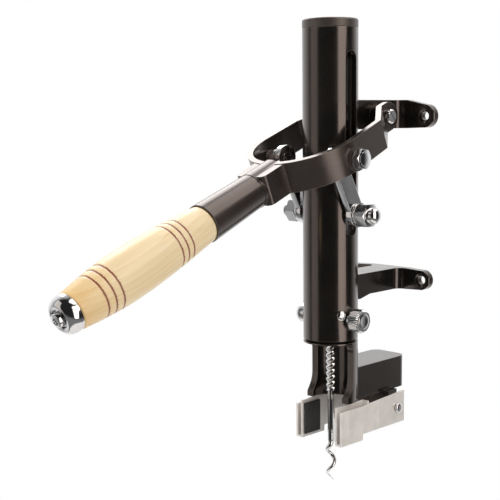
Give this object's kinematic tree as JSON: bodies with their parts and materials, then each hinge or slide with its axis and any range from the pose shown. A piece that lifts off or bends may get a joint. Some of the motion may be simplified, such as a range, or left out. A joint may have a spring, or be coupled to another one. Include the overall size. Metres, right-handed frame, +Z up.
{
  "type": "wall mounted lever corkscrew",
  "caption": "Upright lever corkscrew on two winged wall brackets: a slotted barrel, ring lever with turned grip, links, sliding carriage with worm, and sprung neck jaws.",
  "frame": {"origin": "midway between the upper bracket's two screw holes, in the wall plane", "axes": "+Y into the wall, +Z up along the barrel, +X to the right of someone facing the wall"},
  "size_m": [0.0996, 0.3165, 0.3391],
  "materials": {
    "black_paint": "gloss black enamel",
    "chrome": "polished chrome",
    "steel": "turned steel",
    "wood": "clear lacquer over pale ash, burnt rings",
    "rubber": "matt black",
    "bronze": "turned bronze"
  },
  "bodies": {
    "frame": {"barrel": "black_paint", "top_cap": "black_paint", "upper_bracket": "black_paint", "lower_bracket": "black_paint", "bracket_screws": "black_paint", "hinge_pin": "chrome", "guide_nut": "bronze", "guide_bolt_right": "chrome", "guide_bolt_left": "chrome", "lock_screw": "chrome", "bottle_rest": "black_paint", "jaw_screws": "chrome"},
    "lever": {"lever_ring": "black_paint", "handle_socket": "black_paint", "wood_grip": "wood", "tie_rod": "steel", "end_cap": "chrome", "tie_rod_nut": "chrome", "tie_rod_washer": "chrome", "pivot_bolt_right": "chrome", "pivot_bolt_left": "chrome", "pivot_washers": "steel", "pivot_spacers": "chrome"},
    "carriage": {"carriage": "steel", "trunnions": "steel", "link_washers": "chrome", "cap_nuts": "chrome"},
    "link_right": {"link_right": "chrome", "link_stud_right": "chrome"},
    "link_left": {"link_left": "chrome", "link_stud_left": "chrome"},
    "worm": {"spindle": "chrome", "spindle_nut": "steel", "thrust_washer": "bronze", "worm": "chrome"},
    "jaw_right": {"jaw_right": "chrome", "jaw_pad_right": "rubber"},
    "jaw_left": {"jaw_left": "chrome", "jaw_pad_left": "rubber"}
  },
  "joints": [
    {"name": "lever_lift", "type": "hinge", "parent": "frame", "child": "lever", "pos_m": [0, -0.033, 0], "axis": [-1, 0, 0], "range_deg": [0, 110]},
    {"name": "carriage_slide", "type": "slide", "parent": "frame", "child": "carriage", "axis": [0, 0, 1], "range_m": [0, 0.10628]},
    {"name": "link_swing_right", "type": "hinge", "parent": "carriage", "child": "link_right", "pos_m": [0, -0.073, -0.06869], "axis": [-1, 0, 0], "range_deg": [0, 77.31]},
    {"name": "link_swing_left", "type": "hinge", "parent": "carriage", "child": "link_left", "pos_m": [0, -0.073, -0.06869], "axis": [-1, 0, 0], "range_deg": [0, 77.31]},
    {"name": "worm_turn", "type": "hinge", "parent": "carriage", "child": "worm", "pos_m": [0, -0.073, -0.06869], "axis": [0, 0, 1], "range_deg": [0, 2125.9]},
    {"name": "jaw_open_right", "type": "hinge", "parent": "frame", "child": "jaw_right", "pos_m": [0.021, -0.021, -0.22], "axis": [0, 0, 1], "range_deg": [0, 5], "stiffness_Nm_per_rad": 2},
    {"name": "jaw_open_left", "type": "hinge", "parent": "frame", "child": "jaw_left", "pos_m": [-0.021, -0.021, -0.22], "axis": [0, 0, -1], "range_deg": [0, 5], "stiffness_Nm_per_rad": 2}
  ],
  "couplings": [
    {"joint": "carriage_slide", "follows": "lever_lift", "m_per_rad": 0.055352},
    {"joint": "link_swing_right", "follows": "lever_lift", "ratio": 0.70271},
    {"joint": "link_swing_left", "follows": "lever_lift", "ratio": 0.70271},
    {"joint": "worm_turn", "follows": "lever_lift", "ratio": 19.321}
  ]
}
